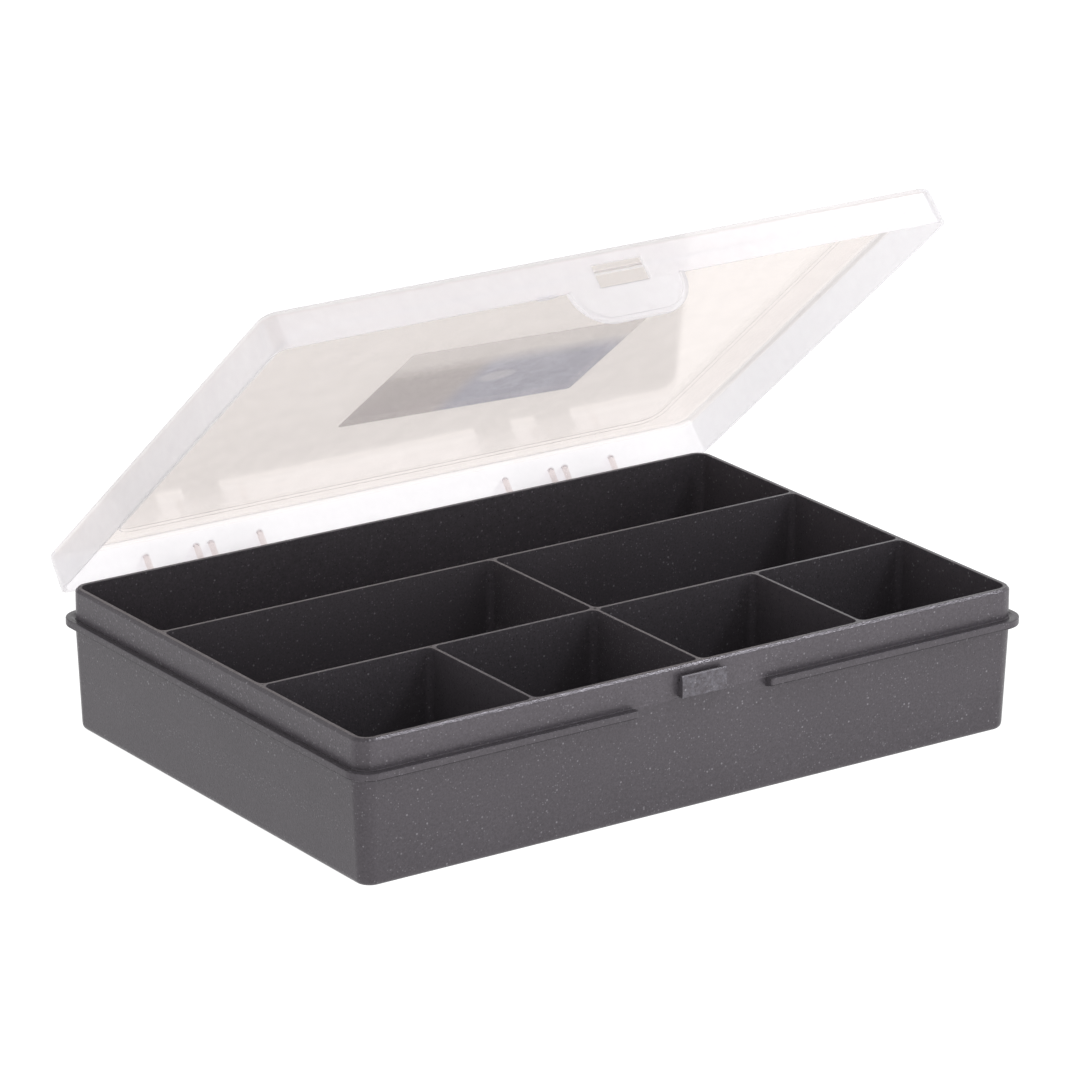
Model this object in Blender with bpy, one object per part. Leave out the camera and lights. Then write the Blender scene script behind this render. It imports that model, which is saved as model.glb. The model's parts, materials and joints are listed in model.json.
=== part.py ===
"""Parts organizer: a divided tray with a hinged clear lid, a flexing latch tongue and a label.

Metres, +Z up. The origin is the centre of the tray's footprint, on the surface it stands on.
The long side runs along X and the latch is at -Y. The lid is drawn shut, in the hinge's own
frame, and its empty then swings it open to the angle it rests at.
"""

import math

import bmesh
import bpy
from mathutils import Vector

MM = 0.001
GAP = 0.3 * MM
CUT_MARGIN = 5.0 * MM

# Tray, outside: length along X, depth along Y, height along Z
TRAY_HEIGHT = 54.5 * MM
RIM_LENGTH = 283.8 * MM
RIM_DEPTH = 193.6 * MM
RIM_CORNER = 6.6 * MM
RIM_EDGE_INSET = 1.1 * MM
RIM_EDGE_DROP = 1.3 * MM
RIM_WALL = 1.33 * MM
LEDGE_LENGTH = 290.0 * MM
LEDGE_DEPTH = 201.1 * MM
LEDGE_CORNER = 8.9 * MM
LEDGE_TOP = 43.2 * MM
LEDGE_FACE = 2.8 * MM
LEDGE_SLOPE = 0.9 * MM
WALL_LENGTH = 284.1 * MM
WALL_DEPTH = 193.9 * MM
BASE_LENGTH = 279.9 * MM
BASE_DEPTH = 191.7 * MM
BASE_CORNER = 5.3 * MM
BASE_FILLET = 2.4 * MM
LOWER_WALL = 1.6 * MM
FLOOR = 1.8 * MM
TONGUE_GAP = 57.5 * MM

# Dividers: wall centres, and thickness at the foot and at the top
REAR_DIVIDER_Y = 35.5 * MM
FRONT_DIVIDER_Y = -30.4 * MM
CENTRE_X = 1.6 * MM
SIDE_CELL_X = 70.7 * MM
DIVIDER_FOOT = 1.9 * MM
DIVIDER_TOP = 1.3 * MM

# Catch on the front wall, under the rim
CATCH_WIDTH = 19.3 * MM
CATCH_LOW = 43.5 * MM
CATCH_HIGH = 51.7 * MM
CATCH_OUT = 3.0 * MM

# Hinge: one axis along X behind the tray, pins on the lid and open hooks on the tray
HINGE_Y = 109.5 * MM
HINGE_Z = 45.7 * MM
PIN_RADIUS = 1.7 * MM
HOOK_WALL = 1.8 * MM
HOOK_WIDTH = 13.0 * MM
HOOK_ROOT_LOW = 33.0 * MM
HOOK_FOOT = 2.0 * MM
MOUTH_START_DEG = 110.0
MOUTH_END_DEG = 372.0
HOOK_UNDER_START_DEG = 205.0
HOOK_UNDER_END_DEG = 300.0
ARM_WIDTH = 2.8 * MM
ARM_INNER_PAIR = (55.1 * MM, 76.2 * MM)
ARM_OUTER_PAIR = (82.6 * MM, 104.2 * MM)
ARM_END_RADIUS = 3.2 * MM
ARM_RISE = 7.9 * MM
ARM_LIFT = 0.2 * MM
ARM_SHOULDER = 2.2 * MM
ARM_SHOULDER_DROP = 0.4 * MM
ARM_END_START_DEG = 250.0
ARM_END_STOP_DEG = 445.0

# Lid, shut: its skirt stands on the ledge
LID_LENGTH = 288.5 * MM
LID_DEPTH = 200.5 * MM
LID_BACK_SHIFT = 0.3 * MM
LID_HEIGHT = 14.7 * MM
LID_BOTTOM = LEDGE_TOP + GAP
LID_CORNER = 6.0 * MM
LID_DRAFT = 0.7 * MM
LID_EDGE_ROUND = 1.2 * MM
LID_WALL = 1.1 * MM
PANEL_THICKNESS = 1.2 * MM
PANEL_INSET = 2.6 * MM
PANEL_RECESS = 0.6 * MM
RECESS_SLOPE = 0.8 * MM
RECESS_SIDE = 23.4 * MM
RECESS_FRONT = 22.0 * MM
RECESS_REAR = 14.5 * MM
RECESS_CORNER = 8.0 * MM
LID_OPEN_DEG = 41.0

# Latch tongue: a flap of the front skirt that flexes about its upper edge
TONGUE_HALF_WIDTH = 24.7 * MM
TONGUE_DROP = 14.8 * MM
TONGUE_CORNER = 14.5 * MM
TONGUE_RISE = 10.2 * MM
TONGUE_WALL = 1.2 * MM
TONGUE_CUT_BEHIND = 0.8 * MM
WINDOW_WIDTH = 21.3 * MM
WINDOW_LOW = -0.2 * MM
WINDOW_HIGH = 8.9 * MM
TONGUE_FLARE = 7.0
LIP_WIDTH = 1.9 * MM
LIP_PROUD = 0.9 * MM

# Label stuck on the recessed panel, outside
LABEL_LENGTH = 107.0 * MM
LABEL_WIDTH = 58.0 * MM
LABEL_THICKNESS = 0.3 * MM
LABEL_TURN_DEG = 4.5
LABEL_OFFSET_X = 2.0 * MM

CORNER_STEPS = 7
ROUND_STEPS = 16


# ---------------------------------------------------------------- meshes

def clear_scene():
    for obj in list(bpy.data.objects):
        bpy.data.objects.remove(obj, do_unlink=True)


def material(name, colour, roughness, alpha=1.0):
    made = bpy.data.materials.new(name)
    made.use_nodes = True
    shader = made.node_tree.nodes["Principled BSDF"]
    shader.inputs["Base Color"].default_value = (*colour, 1.0)
    shader.inputs["Roughness"].default_value = roughness
    shader.inputs["Metallic"].default_value = 0.0
    shader.inputs["Alpha"].default_value = alpha
    return made


def add_object(name, mesh_data, surface, parent=None, sharp_deg=30.0):
    """One named sub-part, smooth on its rounds and crisp on its edges."""
    mesh = bpy.data.meshes.new(name)
    mesh_data.to_mesh(mesh)
    mesh_data.free()
    mesh.materials.append(surface)
    mesh.shade_smooth()
    mesh.set_sharp_from_angle(angle=math.radians(sharp_deg))
    obj = bpy.data.objects.new(name, mesh)
    bpy.context.scene.collection.objects.link(obj)
    obj.parent = parent
    return obj


def cut(target, cutter):
    """Boolean difference that stays on the target; the cutter is a hidden wire helper."""
    cutter.hide_render = True
    cutter.display_type = "WIRE"
    modifier = target.modifiers.new("cut", "BOOLEAN")
    modifier.operation = "DIFFERENCE"
    modifier.solver = "EXACT"
    modifier.object = cutter


def rounded_loop(length, depth, corner, z, centre_y=0.0):
    """Points of a rounded rectangle at height z, counter-clockwise from above."""
    points = []
    half_x = length / 2 - corner
    half_y = depth / 2 - corner
    for quarter, (sx, sy) in enumerate(((1, 1), (-1, 1), (-1, -1), (1, -1))):
        for step in range(CORNER_STEPS + 1):
            turn = math.radians(90 * (quarter + step / CORNER_STEPS))
            x = sx * half_x + corner * math.cos(turn)
            y = sy * half_y + corner * math.sin(turn) + centre_y
            points.append((x, y, z))
    return points


def skin_through(loops):
    """A closed body whose skin runs from the first loop's cap through each loop to the last."""
    mesh = bmesh.new()
    rings = [[mesh.verts.new(point) for point in loop] for loop in loops]
    count = len(rings[0])
    for lower, upper in zip(rings, rings[1:]):
        for i in range(count):
            j = (i + 1) % count
            mesh.faces.new((lower[i], lower[j], upper[j], upper[i]))
    mesh.faces.new(list(reversed(rings[0])))
    mesh.faces.new(rings[-1])
    bmesh.ops.recalc_face_normals(mesh, faces=mesh.faces)
    return mesh


def ring_through(loops):
    """A closed ring whose section runs through each loop and back to the first."""
    mesh = bmesh.new()
    rings = [[mesh.verts.new(point) for point in loop] for loop in loops]
    count = len(rings[0])
    for lower, upper in zip(rings, rings[1:] + rings[:1]):
        for i in range(count):
            j = (i + 1) % count
            mesh.faces.new((lower[i], lower[j], upper[j], upper[i]))
    bmesh.ops.recalc_face_normals(mesh, faces=mesh.faces)
    return mesh


def prism_x(outline, low_x, high_x):
    """An outline of (y, z) points, counter-clockwise, extruded along X."""
    mesh = bmesh.new()
    near = [mesh.verts.new((low_x, y, z)) for y, z in outline]
    far = [mesh.verts.new((high_x, y, z)) for y, z in outline]
    for i in range(len(near)):
        j = (i + 1) % len(near)
        mesh.faces.new((near[i], near[j], far[j], far[i]))
    mesh.faces.new(list(reversed(near)))
    mesh.faces.new(far)
    bmesh.ops.recalc_face_normals(mesh, faces=mesh.faces)
    return mesh


def box_mesh(low, high):
    mesh = bmesh.new()
    bmesh.ops.create_cube(mesh, size=1.0)
    size = Vector(high) - Vector(low)
    middle = (Vector(high) + Vector(low)) / 2
    for vert in mesh.verts:
        vert.co = Vector(a * b for a, b in zip(vert.co, size)) + middle
    return mesh


def tapered_wall(foot_low, foot_high, top_low, top_high, z_low, z_high):
    """A six-sided wall between two level rectangles given by their (x, y) corners."""
    mesh = bmesh.new()
    rings = []
    for (x0, y0), (x1, y1), z in ((foot_low, foot_high, z_low), (top_low, top_high, z_high)):
        corners = ((x0, y0), (x1, y0), (x1, y1), (x0, y1))
        rings.append([mesh.verts.new((x, y, z)) for x, y in corners])
    lower, upper = rings
    for i in range(4):
        j = (i + 1) % 4
        mesh.faces.new((lower[i], lower[j], upper[j], upper[i]))
    mesh.faces.new(list(reversed(lower)))
    mesh.faces.new(upper)
    bmesh.ops.recalc_face_normals(mesh, faces=mesh.faces)
    return mesh


def arc(centre, radius, start_deg, end_deg, steps=ROUND_STEPS):
    """Points along an arc in a (horizontal, vertical) plane."""
    points = []
    for step in range(steps + 1):
        turn = math.radians(start_deg + (end_deg - start_deg) * step / steps)
        points.append((centre[0] + radius * math.cos(turn), centre[1] + radius * math.sin(turn)))
    return points


# ---------------------------------------------------------------- tray

def inner_half(rim_size, base_size, z):
    """Half the clear width between two opposite inner walls at height z."""
    top = rim_size / 2 - RIM_EDGE_INSET - RIM_WALL
    foot = base_size / 2 - LOWER_WALL
    share = (z - FLOOR) / (TRAY_HEIGHT - FLOOR)
    return foot + (top - foot) * share


def tray_loop(length, depth, corner, inset, z):
    """A rounded loop of the tray, drawn in evenly from a given size."""
    return rounded_loop(length - 2 * inset, depth - 2 * inset, corner - inset, z)


def make_tray_shell(plastic):
    """Floor, four drafted walls and the rim that the lid closes over."""
    base = (BASE_LENGTH, BASE_DEPTH, BASE_CORNER)
    rim = (RIM_LENGTH, RIM_DEPTH, RIM_CORNER)
    loops = [
        tray_loop(*base, BASE_FILLET, 0.0),
        tray_loop(*base, 0.3 * BASE_FILLET, 0.3 * BASE_FILLET),
        tray_loop(*base, 0.0, BASE_FILLET),
        tray_loop(WALL_LENGTH, WALL_DEPTH, RIM_CORNER, 0.0, LEDGE_TOP - LEDGE_FACE),
        tray_loop(*rim, 0.0, LEDGE_TOP),
        tray_loop(*rim, 0.0, TRAY_HEIGHT - RIM_EDGE_DROP),
        tray_loop(*rim, RIM_EDGE_INSET, TRAY_HEIGHT),
        tray_loop(*rim, RIM_EDGE_INSET + RIM_WALL, TRAY_HEIGHT),
        tray_loop(*base, LOWER_WALL, FLOOR),
    ]
    return add_object("tray_shell", skin_through(loops), plastic)


def make_rim_ledge(plastic):
    """The flange round the walls that the lid's skirt meets, open where the latch comes down."""
    low = LEDGE_TOP - LEDGE_FACE
    wall = (WALL_LENGTH, WALL_DEPTH, RIM_CORNER)
    ledge = (LEDGE_LENGTH, LEDGE_DEPTH, LEDGE_CORNER)
    loops = [
        tray_loop(*wall, -GAP, low - LEDGE_SLOPE),
        tray_loop(*ledge, 0.0, low),
        tray_loop(*ledge, 0.0, LEDGE_TOP),
        tray_loop(*wall, -GAP, LEDGE_TOP),
    ]
    flange = add_object("rim_ledge", ring_through(loops), plastic)
    notch = box_mesh((-TONGUE_GAP / 2, -LEDGE_DEPTH / 2 - 5 * MM, low - 5 * MM),
                     (TONGUE_GAP / 2, 0.0, LEDGE_TOP + 5 * MM))
    cut(flange, add_object("tongue_notch", notch, plastic))
    return flange


def make_long_divider(name, y, plastic):
    """A wall that runs the length of the tray, from end wall to end wall."""
    low = FLOOR + GAP
    foot = inner_half(RIM_LENGTH, BASE_LENGTH, low) - GAP
    top = inner_half(RIM_LENGTH, BASE_LENGTH, TRAY_HEIGHT) - GAP
    mesh = tapered_wall((-foot, y - DIVIDER_FOOT / 2), (foot, y + DIVIDER_FOOT / 2),
                        (-top, y - DIVIDER_TOP / 2), (top, y + DIVIDER_TOP / 2), low, TRAY_HEIGHT)
    return add_object(name, mesh, plastic)


def make_cross_divider(name, x, faces_low, faces_high, plastic):
    """A wall across one row. faces_low and faces_high give (y_start, y_end) at foot and top."""
    mesh = tapered_wall((x - DIVIDER_FOOT / 2, faces_low[0]), (x + DIVIDER_FOOT / 2, faces_low[1]),
                        (x - DIVIDER_TOP / 2, faces_high[0]), (x + DIVIDER_TOP / 2, faces_high[1]),
                        FLOOR + GAP, TRAY_HEIGHT)
    return add_object(name, mesh, plastic)


def make_dividers(plastic):
    """One open rear row, two middle cells and four front cells."""
    make_long_divider("rear_divider", REAR_DIVIDER_Y, plastic)
    make_long_divider("front_divider", FRONT_DIVIDER_Y, plastic)
    foot_off = DIVIDER_FOOT / 2 + GAP
    top_off = DIVIDER_TOP / 2 + GAP
    middle_foot = (FRONT_DIVIDER_Y + foot_off, REAR_DIVIDER_Y - foot_off)
    middle_top = (FRONT_DIVIDER_Y + top_off, REAR_DIVIDER_Y - top_off)
    make_cross_divider("middle_cross_divider", CENTRE_X, middle_foot, middle_top, plastic)
    wall_foot = -(inner_half(RIM_DEPTH, BASE_DEPTH, FLOOR + GAP) - GAP)
    wall_top = -(inner_half(RIM_DEPTH, BASE_DEPTH, TRAY_HEIGHT) - GAP)
    front_foot = (wall_foot, FRONT_DIVIDER_Y - foot_off)
    front_top = (wall_top, FRONT_DIVIDER_Y - top_off)
    for side, offset in (("left", -SIDE_CELL_X), ("centre", 0.0), ("right", SIDE_CELL_X)):
        make_cross_divider("front_cross_divider_" + side, CENTRE_X + offset, front_foot, front_top,
                           plastic)


def make_catch(plastic):
    """The block that the latch window snaps over: a ramp above and a square shoulder below."""
    back = -RIM_DEPTH / 2 - GAP
    front = -RIM_DEPTH / 2 - CATCH_OUT
    ramp = 0.22 * (CATCH_HIGH - CATCH_LOW)
    outline = [(back, CATCH_LOW), (back, CATCH_HIGH), (front + 0.35 * CATCH_OUT, CATCH_HIGH),
               (front, CATCH_HIGH - ramp), (front, CATCH_LOW)]
    mesh = prism_x(outline, -CATCH_WIDTH / 2, CATCH_WIDTH / 2)
    return add_object("catch", mesh, plastic)


def make_hinge_hook(name, x, plastic):
    """A bracket under the rear ledge that ends in an open cup round the lid's pin."""
    inner = PIN_RADIUS + GAP
    outer = inner + HOOK_WALL
    centre = (HINGE_Y, HINGE_Z)
    ledge_y = LEDGE_DEPTH / 2 + GAP
    ledge_low = LEDGE_TOP - LEDGE_FACE
    wall_y = WALL_DEPTH / 2 + GAP
    outline = [(wall_y, HOOK_ROOT_LOW), (wall_y + HOOK_FOOT, HOOK_ROOT_LOW)]
    outline += arc(centre, outer, HOOK_UNDER_END_DEG, MOUTH_END_DEG)
    outline += arc(centre, inner, MOUTH_END_DEG, MOUTH_START_DEG, 2 * ROUND_STEPS)
    outline += arc(centre, outer, MOUTH_START_DEG, HOOK_UNDER_START_DEG, ROUND_STEPS // 2)
    outline += [(ledge_y, LEDGE_TOP - GAP), (ledge_y, ledge_low - GAP),
                (wall_y, ledge_low - LEDGE_SLOPE - 2 * GAP)]
    mesh = prism_x(outline, x - HOOK_WIDTH / 2, x + HOOK_WIDTH / 2)
    return add_object(name, mesh, plastic)


# ---------------------------------------------------------------- lid, in the hinge's frame

def from_hinge(point):
    """A point given with the lid shut, as seen from the hinge axis."""
    x, y, z = point
    return (x, y - HINGE_Y, z - HINGE_Z)


def lid_loop(inset, z, corner):
    """A rounded loop of the lid, drawn in from the skirt's lower outer edge."""
    loop = rounded_loop(LID_LENGTH - 2 * inset, LID_DEPTH - 2 * inset, corner, z, LID_BACK_SHIFT)
    return [from_hinge(point) for point in loop]


def panel_loop(grow, z):
    """A rounded loop round the recessed panel, whose border is widest at the latch."""
    length = LID_LENGTH - 2 * (RECESS_SIDE - grow)
    depth = LID_DEPTH - RECESS_FRONT - RECESS_REAR + 2 * grow
    centre_y = LID_BACK_SHIFT + (RECESS_FRONT - RECESS_REAR) / 2
    loop = rounded_loop(length, depth, RECESS_CORNER + grow, z, centre_y)
    return [from_hinge(point) for point in loop]


def make_lid_skirt(hinge, plastic):
    """The drafted wall round the lid with its rounded top edge, notched for the latch tongue."""
    top = LID_BOTTOM + LID_HEIGHT
    loops = [
        lid_loop(LID_DRAFT + LID_EDGE_ROUND, top, LID_CORNER - LID_EDGE_ROUND),
        lid_loop(LID_DRAFT + 0.3 * LID_EDGE_ROUND, top - 0.3 * LID_EDGE_ROUND,
                 LID_CORNER - 0.3 * LID_EDGE_ROUND),
        lid_loop(LID_DRAFT, top - LID_EDGE_ROUND, LID_CORNER),
        lid_loop(0.0, LID_BOTTOM, LID_CORNER),
        lid_loop(LID_WALL, LID_BOTTOM, LID_CORNER - LID_WALL),
        lid_loop(LID_DRAFT + LID_WALL, top - PANEL_THICKNESS, LID_CORNER - LID_WALL),
        lid_loop(PANEL_INSET - GAP, top - PANEL_THICKNESS, LID_CORNER - PANEL_INSET + LID_DRAFT),
        lid_loop(PANEL_INSET - GAP, top, LID_CORNER - PANEL_INSET + LID_DRAFT),
    ]
    skirt = add_object("lid_skirt", ring_through(loops), plastic, hinge)
    front_y = LID_BACK_SHIFT - LID_DEPTH / 2
    low = from_hinge((-TONGUE_HALF_WIDTH - GAP, front_y - CUT_MARGIN, LID_BOTTOM - CUT_MARGIN))
    high = from_hinge((TONGUE_HALF_WIDTH + GAP, front_y + LID_DRAFT + LID_WALL + TONGUE_CUT_BEHIND,
                       LID_BOTTOM + TONGUE_RISE + GAP))
    cut(skirt, add_object("tongue_cut", box_mesh(low, high), plastic, hinge))
    return skirt


def make_lid_panel(hinge, plastic):
    """The flat top of the lid: a border and, one small step lower, a recessed middle."""
    top = LID_BOTTOM + LID_HEIGHT
    under = top - PANEL_THICKNESS
    corner = LID_CORNER - PANEL_INSET + LID_DRAFT
    loops = [
        panel_loop(-RECESS_SLOPE, top - PANEL_RECESS),
        panel_loop(0.0, top),
        lid_loop(PANEL_INSET, top, corner),
        lid_loop(PANEL_INSET, under, corner),
        panel_loop(0.0, under),
        panel_loop(-RECESS_SLOPE, under - PANEL_RECESS),
    ]
    return add_object("lid_panel", skin_through(loops), plastic, hinge)


def make_hinge_loop(name, side, pair, hinge, plastic):
    """Two arms that reach back from the skirt and the round pin that joins them."""
    root = LID_BACK_SHIFT + LID_DEPTH / 2 + GAP - HINGE_Y
    low = LID_BOTTOM + ARM_LIFT - HINGE_Z
    high = LID_BOTTOM + ARM_RISE - HINGE_Z
    outline = [(root, low)]
    outline += arc((0.0, 0.0), ARM_END_RADIUS, ARM_END_START_DEG, ARM_END_STOP_DEG)
    outline += [(root + ARM_SHOULDER, high - ARM_SHOULDER_DROP), (root, high)]
    parts = []
    for x in pair:
        parts.append(prism_x(outline, side * x - ARM_WIDTH / 2, side * x + ARM_WIDTH / 2))
    arms = [add_object(name if i == 0 else name + "_second_arm", part, plastic, hinge)
            for i, part in enumerate(parts)]
    pin_line = arc((0.0, 0.0), PIN_RADIUS, 0.0, 360.0 * (1 - 1 / ROUND_STEPS), ROUND_STEPS - 1)
    inner, outer = sorted(side * x for x in pair)
    pin = add_object(name + "_pin", prism_x(pin_line, inner, outer), plastic, hinge)
    for extra in (arms[1], pin):
        join(arms[0], extra)
    return arms[0]


def join(target, other):
    """Boolean union that stays on the target; the other shape is a hidden wire helper."""
    other.hide_render = True
    other.display_type = "WIRE"
    modifier = target.modifiers.new("join", "BOOLEAN")
    modifier.operation = "UNION"
    modifier.solver = "EXACT"
    modifier.object = other


def make_label(hinge, paper):
    """A flat sticker on the outer face of the recessed panel, stuck on a little out of square."""
    panel_top = LID_BOTTOM + LID_HEIGHT - PANEL_RECESS - HINGE_Z
    centre_y = LID_BACK_SHIFT - HINGE_Y
    mesh = box_mesh((-LABEL_LENGTH / 2, -LABEL_WIDTH / 2, 0.0),
                    (LABEL_LENGTH / 2, LABEL_WIDTH / 2, LABEL_THICKNESS))
    label = add_object("label", mesh, paper, hinge)
    label.location = (LABEL_OFFSET_X, centre_y, panel_top + GAP)
    label.rotation_euler = (0.0, 0.0, math.radians(LABEL_TURN_DEG))
    return label


# ---------------------------------------------------------------- latch, in its own frame

def grip_outline(inset):
    """(x, z) points of the grip below the skirt, from its upper left round to its upper right."""
    half = TONGUE_HALF_WIDTH - inset
    corner = TONGUE_CORNER - inset
    foot = inset - TONGUE_DROP
    points = [(-half, 0.0)]
    points += arc((-half + corner, foot + corner), corner, 180.0, 270.0, CORNER_STEPS)
    points += arc((half - corner, foot + corner), corner, 270.0, 360.0, CORNER_STEPS)
    points.append((half, 0.0))
    return points


def lean_at(z):
    """How far the flap's face stands back at a height measured from the skirt's lower edge."""
    flare = math.tan(math.radians(TONGUE_FLARE))
    return LID_DRAFT * max(z, 0.0) / LID_HEIGHT + flare * min(z, 0.0)


def flap_slab(upper, grip, front_y, back_y):
    """A slab that follows the skirt's draft over its upper part and flares out over its grip."""
    mesh = bmesh.new()
    sheets = []
    for y in (front_y, back_y):
        tops = [mesh.verts.new((x, y + lean_at(z), z - TONGUE_RISE)) for x, z in upper]
        lows = [mesh.verts.new((x, y + lean_at(z), z - TONGUE_RISE)) for x, z in grip]
        sheets.append((tops, lows))
    for tops, lows in sheets:
        mesh.faces.new(tops + [lows[0], lows[-1]])
        mesh.faces.new(lows)
    front, back = [tops + lows for tops, lows in sheets]
    for i in range(len(front)):
        j = (i + 1) % len(front)
        mesh.faces.new((front[i], front[j], back[j], back[i]))
    bmesh.ops.recalc_face_normals(mesh, faces=mesh.faces)
    return mesh


def make_latch_tongue(latch, plastic):
    """A flap with a window for the catch and a raised lip round the grip below the skirt."""
    half = TONGUE_HALF_WIDTH
    upper = [(half, TONGUE_RISE), (-half, TONGUE_RISE)]
    flap_mesh = flap_slab(upper, grip_outline(0.0), -LIP_PROUD, TONGUE_WALL)
    flap = add_object("latch_tongue", flap_mesh, plastic, latch)
    wide = half + 5 * MM
    above = TONGUE_RISE + 5 * MM
    around = [(wide, 0.0), (wide, above), (-wide, above), (-wide, 0.0)]
    recess = flap_slab(around, grip_outline(LIP_WIDTH), -LIP_PROUD - 3 * MM, 0.0)
    cut(flap, add_object("grip_recess", recess, plastic, latch))
    window = box_mesh((-WINDOW_WIDTH / 2, -8 * MM, WINDOW_LOW - TONGUE_RISE),
                      (WINDOW_WIDTH / 2, 8 * MM, WINDOW_HIGH - TONGUE_RISE))
    cut(flap, add_object("latch_window", window, plastic, latch))
    return flap


# ---------------------------------------------------------------- assembly

def add_empty(name, location, parent=None):
    empty = bpy.data.objects.new(name, None)
    empty.empty_display_size = 20 * MM
    empty.location = location
    empty.parent = parent
    bpy.context.scene.collection.objects.link(empty)
    return empty


def build():
    clear_scene()
    dark_plastic = material("dark_plastic", (0.055, 0.053, 0.055), 0.45)
    frosted_plastic = material("frosted_plastic", (0.90, 0.89, 0.90), 0.35, 0.6)
    clear_plastic = material("clear_plastic", (0.86, 0.84, 0.82), 0.15, 0.35)
    card = material("label_card", (0.42, 0.47, 0.55), 0.6)

    make_tray_shell(dark_plastic)
    make_rim_ledge(dark_plastic)
    make_dividers(dark_plastic)
    make_catch(dark_plastic)

    hinge = add_empty("lid_hinge", (0.0, HINGE_Y, HINGE_Z))
    hinge.rotation_euler = (-math.radians(LID_OPEN_DEG), 0.0, 0.0)
    make_lid_skirt(hinge, frosted_plastic)
    make_lid_panel(hinge, clear_plastic)
    for side, side_name in ((-1, "left"), (1, "right")):
        for pair, pair_name in ((ARM_INNER_PAIR, "inner"), (ARM_OUTER_PAIR, "outer")):
            make_hinge_hook("hinge_hook_" + side_name + "_" + pair_name,
                            side * sum(pair) / 2, dark_plastic)
            make_hinge_loop("lid_hinge_loop_" + side_name + "_" + pair_name,
                            side, pair, hinge, frosted_plastic)
    make_label(hinge, card)

    front_y = LID_BACK_SHIFT - LID_DEPTH / 2
    latch = add_empty("latch_hinge", from_hinge((0.0, front_y, LID_BOTTOM + TONGUE_RISE)), hinge)
    make_latch_tongue(latch, frosted_plastic)


build()
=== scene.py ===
"""Parts organizer: the looks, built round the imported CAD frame.

Metres, +Z up, the tray's footprint centred on the origin and the latch at -Y. Lid pieces are
drawn as they stand with the lid shut, and then turned about the hinge to the resting angle.
"""

import json
import math

import bmesh
import bpy
from mathutils import Matrix, Vector


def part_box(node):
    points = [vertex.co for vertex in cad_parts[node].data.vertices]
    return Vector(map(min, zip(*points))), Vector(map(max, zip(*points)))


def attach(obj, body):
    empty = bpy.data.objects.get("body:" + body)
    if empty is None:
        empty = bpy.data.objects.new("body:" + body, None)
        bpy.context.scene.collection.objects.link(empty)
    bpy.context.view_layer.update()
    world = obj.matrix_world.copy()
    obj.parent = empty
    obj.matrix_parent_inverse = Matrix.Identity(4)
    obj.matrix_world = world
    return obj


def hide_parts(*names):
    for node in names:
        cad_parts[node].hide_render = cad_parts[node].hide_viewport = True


MM = 0.001

# Tray walls: thicknesses, roundings and the small features the frame keeps plain
BASE_SIZE = (279.9 * MM, 191.7 * MM, 5.3 * MM)
WALL_SIZE = (284.1 * MM, 193.9 * MM, 6.6 * MM)
RIM_SIZE = (283.8 * MM, 193.6 * MM, 6.6 * MM)
LEDGE_CORNER = 8.9 * MM
LEDGE_TOP = 43.2 * MM
LEDGE_FACE = 2.8 * MM
LEDGE_SLOPE = 0.9 * MM
LEDGE_GROOVE = 0.5 * MM
LEDGE_GAP = 57.5 * MM
RIM_EDGE = 0.95 * MM
RIM_DROP = 1.05 * MM
RIM_WALL = 1.48 * MM
LOWER_WALL = 1.6 * MM
FLOOR = 1.8 * MM
DIVIDER_FOOT = 0.95 * MM
DIVIDER_TOP = 0.62 * MM
JUNCTION_ROUND = 2.6 * MM
PLASTIC_TINT = (1.0, 0.90, 1.02)
PLAIN, PAINTED_SHADE, SCUFFED, POLISH_AND_HIGHLIGHT, RIM_LIGHT_BAND = range(5)
FOOT_ROUND = 1.1 * MM
BASE_FILLET = 2.4 * MM
FLOOR_FILLET = 1.3 * MM
MIDDLE_INSET = 9 * MM
SEAM_BELOW = 0.3 * MM
SEAM_RISE = 0.32 * MM
SEAM_ROUND = 0.12 * MM
DIVIDER_SINK = 0.01 * MM
DIVIDER_EASE = 0.16 * MM
DIVIDER_ROOT = 0.6 * MM
JUNCTION_SINK = 0.02 * MM
BURY = 0.5 * MM
CATCH_ROOT = 0.6 * MM
CATCH_SLOT_WIDTH = 1.0 * MM
CATCH_SLOT_DEPTH = 2.2 * MM
CATCH_EASE = 0.3 * MM
CATCH_CREST_RUN = 0.7 * MM
CATCH_CREST_DROP = 0.35 * MM
CATCH_RAMP_DROP = 1.5 * MM
CATCH_END_ROUND = 0.22 * MM

# Lid, shut
LID_SIZE = (288.5 * MM, 200.5 * MM, 6.0 * MM)
LID_SHIFT = 0.3 * MM
LID_BOTTOM = LEDGE_TOP + 0.3 * MM
LID_HEIGHT = 14.7 * MM
LID_DRAFT = 0.7 * MM
LID_WALL = 1.1 * MM
PANEL = 1.2 * MM
LID_EDGE_ROUND = 2.3 * MM
LID_FOOT_ROUND = 0.3 * MM
LID_INNER_ROUND = 1.0 * MM
STEP_ROUND = 0.15 * MM
RECESS = 0.6 * MM
RECESS_SIZE = (241.7 * MM, 164.0 * MM, 8.0 * MM)
RECESS_SHIFT = LID_SHIFT + 3.75 * MM
ARM_PAIRS = ((55.1 * MM, 76.2 * MM), (82.6 * MM, 104.2 * MM))
ARM_WIDTH = 2.8 * MM
ARM_RISE = 7.9 * MM
PIN_RADIUS = 1.7 * MM
ARM_END_RADIUS = 3.2 * MM
HOOK_WALL = 1.8 * MM
PIN_PLAY = 0.3 * MM
HOOK_ROOT = 0.6 * MM
HOOK_FOOT = 2.6 * MM
MOUTH_START = 110.0
MOUTH_END = 372.0
TONGUE_HALF = 24.7 * MM
TONGUE_DROP = 14.8 * MM
TONGUE_CORNER = 14.5 * MM
TONGUE_RISE = 10.2 * MM
TONGUE_FLARE = 7.0
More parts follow.
